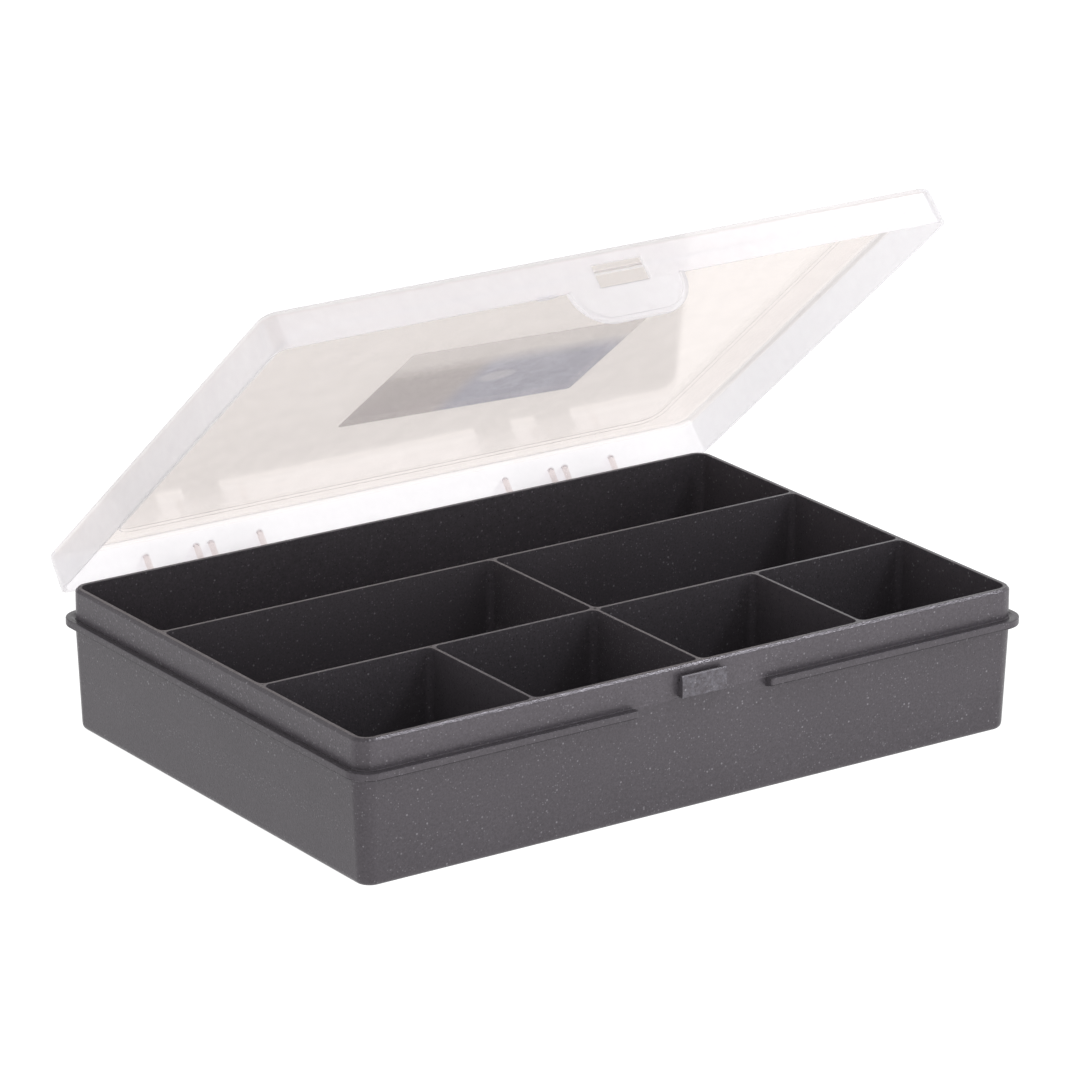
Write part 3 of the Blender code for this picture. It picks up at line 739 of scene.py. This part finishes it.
def add_arm_roots(mesh):
    """Behind each hinge arm the skirt is a hair thicker, up to a small round brow."""
    half = ARM_WIDTH / 2
    brow_low = LID_BOTTOM + ARM_RISE - half
    outline = [(half, LID_BOTTOM + 0.5 * MM)] + arc((0.0, brow_low), half, 0.0, 180.0, 10)
    outline.append((-half, LID_BOTTOM + 0.5 * MM))
    brow = arc((0.0, brow_low), half * 1.1, 15.0, 165.0, 10)
    brow += reversed(arc((0.0, brow_low - 0.2 * MM), half * 0.7, 15.0, 165.0, 10))
    for side in (-1, 1):
        for pair in ARM_PAIRS:
            for x in pair:
                for shape, proud, slot in ((outline, 0.04 * MM, CLEAR), (brow, 0.25 * MM, FROSTED)):
                    rings = [[Vector((side * x + px, back_wall(z) + off, z)) for px, z in shape]
                             for off in (0.05 * MM, -proud)]
                    loft(mesh, rings, slots=[slot])


def add_guide_tab(mesh):
    """A small half-round web inside the front skirt's lower edge, beside the flap."""
    wall = LID_SHIFT - LID_SIZE[1] / 2 + LID_WALL
    bow = [(TAB_X + TAB_HALF * math.cos(t), wall + TAB_REACH * math.sin(t))
           for t in [math.radians(15 * k) for k in range(13)]]
    outline = bow + [(TAB_X - TAB_HALF, wall - 0.2 * MM), (TAB_X + TAB_HALF, wall - 0.2 * MM)]
    rings = [[Vector((x, y, LID_BOTTOM + z)) for x, y in outline] for z in (0.05 * MM, 1.2 * MM)]
    loft(mesh, rings, slots=[FROSTED])


def make_lid(surfaces):
    mesh = bmesh.new()
    add_lid_skin(mesh)
    lid = piece("lid_moulding", mesh, surfaces)
    front = LID_SHIFT - LID_SIZE[1] / 2
    half = TONGUE_HALF + TONGUE_SLIT
    rise = LID_BOTTOM + TONGUE_RISE + TONGUE_SLIT
    slot = box_cutter("tongue_slot", (-half, front - CUT_REACH, LID_BOTTOM - CUT_REACH),
                      (half, front + TONGUE_BACK, rise))
    apply_cuts(lid, [slot])
    retouch(lid, JOINED, lambda at, way: on_slot(at, way, half, rise, front))
    settle(lid, LID_TURN)
    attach(lid, "lid")
    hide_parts("lid_skirt", "lid_panel")
    arms_mesh = bmesh.new()
    add_hinge_loops(arms_mesh)
    for face in arms_mesh.faces:
        face.material_index = ARM
    add_arm_roots(arms_mesh)
    add_guide_tab(arms_mesh)
    arms = piece("lid_hinge_arms", arms_mesh, surfaces)
    settle(arms, LID_TURN)
    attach(arms, "lid")
    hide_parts(*[n for n in LID_NODES if n.startswith("lid_hinge_loop_")])


def on_slot(at, way, half, rise, front):
    """True on the faces where the flap and the skirt are one plastic on the real lid."""
    near = 0.01 * MM
    above = at.z > LID_BOTTOM and at.y < front + TONGUE_BACK
    side = abs(abs(at.x) - half) < near and abs(way.x) > 0.9
    upper = abs(at.z - rise) < near and abs(at.x) < half + near and abs(way.z) > 0.9
    return above and (side or upper)


def grip_outline(inset):
    half = TONGUE_HALF - inset
    corner = TONGUE_CORNER - inset
    foot = inset - TONGUE_DROP
    points = [(-half, 0.0)]
    points += arc((-half + corner, foot + corner), corner, 180.0, 270.0, 18)
    points += arc((half - corner, foot + corner), corner, 270.0, 360.0, 18)
    points.append((half, 0.0))
    return points


def flap_slab(upper, grip, front_y, back_y):
    """A slab that follows the skirt's draft over its upper part and flares out over its grip."""
    mesh = bmesh.new()
    front_edge = LID_SHIFT - LID_SIZE[1] / 2
    flare = math.tan(math.radians(TONGUE_FLARE))
    sheets = []
    for y in (front_y, back_y):
        rows = []
        for group in (upper, grip):
            row = []
            for x, z in group:
                lean = LID_DRAFT * max(z, 0.0) / LID_HEIGHT + flare * min(z, 0.0)
                row.append(mesh.verts.new((x, front_edge + y + lean, LID_BOTTOM + z)))
            rows.append(row)
        sheets.append(rows)
    for tops, lows in sheets:
        mesh.faces.new(tops + [lows[0], lows[-1]])
        mesh.faces.new(lows)
    front, back = [tops + lows for tops, lows in sheets]
    for i in range(len(front)):
        j = (i + 1) % len(front)
        mesh.faces.new((front[i], front[j], back[j], back[i]))
    return mesh


def make_latch(surfaces):
    """The flap with its window, and a raised lip round the grip."""
    upper = [(TONGUE_HALF, TONGUE_RISE), (-TONGUE_HALF, TONGUE_RISE)]
    flap = piece("latch_flap", flap_slab(upper, grip_outline(0.0), -LIP_PROUD, LID_WALL), surfaces)
    wide = TONGUE_HALF + CUT_REACH
    above = TONGUE_RISE + CUT_REACH
    around = [(wide, 0.0), (wide, above), (-wide, above), (-wide, 0.0)]
    recess = piece("grip_recess",
                   flap_slab(around, grip_outline(LIP_WIDTH), -LIP_PROUD - RECESS_REACH, 0.0), [])
    front = LID_SHIFT - LID_SIZE[1] / 2
    window = box_cutter("latch_window",
                        (-WINDOW_HALF, front - WINDOW_REACH, LID_BOTTOM + WINDOW_LOW),
                        (WINDOW_HALF, front + WINDOW_REACH, LID_BOTTOM + WINDOW_HIGH))
    apply_cuts(flap, [recess, window])
    round_grip(flap)
    rise = LID_BOTTOM + TONGUE_RISE
    retouch(flap, JOINED, lambda at, way: on_slot(at, way, TONGUE_HALF, rise, front))
    settle(flap, LID_TURN)
    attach(flap, "latch")
    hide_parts("latch_tongue")


def round_grip(flap):
    """Softens the lip's edges round the grip, and leaves the flap's joined edges alone."""
    mesh = bmesh.new()
    mesh.from_mesh(flap.data)
    bmesh.ops.remove_doubles(mesh, verts=mesh.verts, dist=0.005 * MM)
    low = LID_BOTTOM + 0.02 * MM
    edges = [edge for edge in mesh.edges
             if all(vert.co.z < low for vert in edge.verts)
             and edge.calc_face_angle(0.0) > math.radians(50)
             and abs(edge.verts[0].co.z - edge.verts[1].co.z)
             + abs(edge.verts[0].co.x - edge.verts[1].co.x) > 0.05 * MM]
    bmesh.ops.bevel(mesh, geom=edges, offset=0.3 * MM, segments=3, profile=0.5, affect="EDGES",
                    clamp_overlap=True)
    mesh.to_mesh(flap.data)
    mesh.free()


def make_label(surface):
    """The sticker, laid straight on the recessed panel and a little out of square."""
    mesh = bmesh.new()
    size = (LABEL_SIZE[0], LABEL_SIZE[1], LABEL_CORNER)
    loft(mesh, [ring(size, 0.0, steps=5), ring(size, 0.10 * MM, steps=5),
                ring(size, LABEL_THICKNESS, 0.02 * MM, steps=5)])
    low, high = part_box("label")
    middle = LID_TURN.inverted() @ ((low + high) / 2)
    place = Matrix.Translation((middle.x, middle.y, LID_BOTTOM + LID_HEIGHT - RECESS + LABEL_LIFT))
    turn = Matrix.Rotation(math.radians(LABEL_TURN), 4, "Z")
    label = piece("label_sticker", mesh, [surface])
    settle(label)
    label.matrix_world = LID_TURN @ place @ turn
    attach(label, "lid")
    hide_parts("label")


# ---------------------------------------------------------------- studio

def make_floor(surface):
    mesh = bmesh.new()
    half = 6.0
    corners = ((-half, -half), (half, -half), (half, half), (-half, half))
    mesh.faces.new([mesh.verts.new((x, y, -0.05 * MM)) for x, y in corners])
    floor = piece("studio_floor", mesh, [surface])


def make_light(name, location, aim, size, watts, colour):
    data = bpy.data.lights.new(name, "AREA")
    data.color = colour
    data.shape = "DISK"
    data.size = size
    data.energy = watts
    lamp = bpy.data.objects.new(name, data)
    lamp.location = location
    lamp.rotation_mode = "QUATERNION"
    lamp.rotation_quaternion = (Vector(aim) - Vector(location)).to_track_quat("-Z", "Y")
    bpy.context.scene.collection.objects.link(lamp)


def make_world():
    """A white room that is dimmer overhead and on the left, as under a soft box on the right."""
    world = bpy.data.worlds.new("studio_white")
    world.use_nodes = True
    tree = world.node_tree
    where = tree.nodes.new("ShaderNodeTexCoord")
    axes = tree.nodes.new("ShaderNodeSeparateXYZ")
    tree.links.new(where.outputs["Generated"], axes.inputs[0])
    fade = tree.nodes.new("ShaderNodeMapRange")
    sway = tree.nodes.new("ShaderNodeMapRange")
    total = tree.nodes.new("ShaderNodeMath")
    total.operation = "MULTIPLY"
    for node, axis, low, high, at_low, at_high in ((fade, 2, 0.0, 1.0, 1.42, 0.60),
                                                   (sway, 0, -1.0, 1.0, 0.97, 1.03)):
        tree.links.new(axes.outputs[axis], node.inputs["Value"])
        for socket, number in zip(("From Min", "From Max", "To Min", "To Max"),
                                  (low, high, at_low, at_high)):
            node.inputs[socket].default_value = number
    tree.links.new(fade.outputs["Result"], total.inputs[0])
    tree.links.new(sway.outputs["Result"], total.inputs[1])
    sky = tree.nodes["Background"]
    sky.inputs["Color"].default_value = (1.0, 1.0, 1.0, 1.0)
    tree.links.new(total.outputs[0], sky.inputs["Strength"])
    bpy.context.scene.world = world


def make_camera():
    data = bpy.data.cameras.new("photo_view")
    data.sensor_width = 36.0
    data.lens = 209.1
    data.clip_start = 0.05
    data.clip_end = 50.0
    camera = bpy.data.objects.new("photo_view", data)
    place = Vector((-1.22282, -1.76210, 0.80458))
    aim = Vector((0.08153, 0.11957, 0.02274))
    roll = Matrix.Rotation(math.radians(0.209), 4, "Z")
    turn = (aim - place).to_track_quat("-Z", "Y").to_matrix().to_4x4()
    camera.matrix_world = Matrix.Translation(place) @ turn @ roll
    bpy.context.scene.collection.objects.link(camera)
    bpy.context.scene.camera = camera


# ---------------------------------------------------------------- build

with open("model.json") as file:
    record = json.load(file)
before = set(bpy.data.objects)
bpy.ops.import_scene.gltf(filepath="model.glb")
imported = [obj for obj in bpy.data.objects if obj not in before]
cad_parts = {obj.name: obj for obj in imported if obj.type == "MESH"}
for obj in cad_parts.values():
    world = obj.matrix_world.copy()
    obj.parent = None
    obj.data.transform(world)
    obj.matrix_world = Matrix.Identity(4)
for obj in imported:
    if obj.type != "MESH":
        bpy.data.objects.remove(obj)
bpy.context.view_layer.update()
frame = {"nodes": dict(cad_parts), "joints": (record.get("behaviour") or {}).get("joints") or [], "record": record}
TRAY_NODES = frame["record"]["behaviour"]["bodies"]["tray"]
LID_NODES = frame["record"]["behaviour"]["bodies"]["lid"]
TRAY_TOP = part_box("tray_shell")[1].z
ledge_low, ledge_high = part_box("rim_ledge")
LEDGE_SIZE = ledge_high - ledge_low
REAR_Y = sum(v.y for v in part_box("rear_divider")) / 2
FRONT_Y = sum(v.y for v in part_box("front_divider")) / 2
MIDDLE_X = sum(v.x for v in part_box("middle_cross_divider")) / 2
FRONT_XS = [sum(v.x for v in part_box("front_cross_divider_" + place)) / 2
            for place in ("left", "centre", "right")]
lid_joint = next(j for j in frame["joints"] if j["name"] == "lid_hinge")
HINGE = Vector(lid_joint["pos_m"])
OPEN_ANGLE = math.radians(lid_joint["range_deg"][0])
LID_TURN = (Matrix.Translation(HINGE) @ Matrix.Rotation(OPEN_ANGLE, 4, "X")
            @ Matrix.Translation(-HINGE))

frosted = clear_plastic("lid_frosted_plastic", MILK, COOL, clarity=0.69, gloss=0.40,
                        gloss_roughness=0.36, grain=0.04 * MM)
clear = clear_plastic("lid_clear_plastic", (0.80, 0.75, 0.71, 1), CREAM, clarity=0.89, gloss=0.30,
                      gloss_roughness=0.08, grain=0.001 * MM)
step = clear_plastic("lid_step_plastic", (0.84, 0.82, 0.82, 1), COOL, clarity=0.45, gloss=0.7,
                     gloss_roughness=0.14, grain=0.006 * MM)
joined = clear_plastic("lid_joined_plastic", MILK, COOL, clarity=0.97, gloss=0.0,
                       gloss_roughness=0.30, grain=0.006 * MM)
arm = clear_plastic("lid_arm_plastic", MILK, COOL, clarity=0.95, gloss=0.12,
                    gloss_roughness=0.25, grain=0.02 * MM)
lid_surfaces = [frosted, clear, step, joined, arm]
make_tray([dark_plastic("tray_dark_plastic"),
           # Painted shade: darker plastic along the ledge's lower edge.
           dark_plastic("tray_painted_shade_line", lightness=0.55, shine=0.45),
           dark_plastic("tray_rubbed_catch", lightness=1.15, scuffed=0.40),
           # Worn, smoother rim edge, lighter in colour as a painted highlight.
           dark_plastic("tray_rim_wear_and_highlight", lightness=1.25, scuffed=0.10, shine=1.25, softness=0.6),
           # Painted light: lighter plastic on the rim's outer wall.
           dark_plastic("tray_rim_painted_light", lightness=1.22)])
make_lid(lid_surfaces)
make_latch(lid_surfaces)
make_label(label_card())

make_floor(floor_surface())
make_world()
make_light("key_soft", location=(1.45, -0.9, 2.1), aim=(0.0, 0.0, 0.05), size=0.55, watts=17.0,
           colour=(0.93, 0.96, 1.0))
make_light("right_soft", location=(2.4, -0.9, 0.8), aim=(0.0, 0.0, 0.08), size=1.6, watts=2.6,
           colour=(1.0, 1.0, 1.0))
make_camera()
bpy.context.scene.view_settings.view_transform = "Standard"
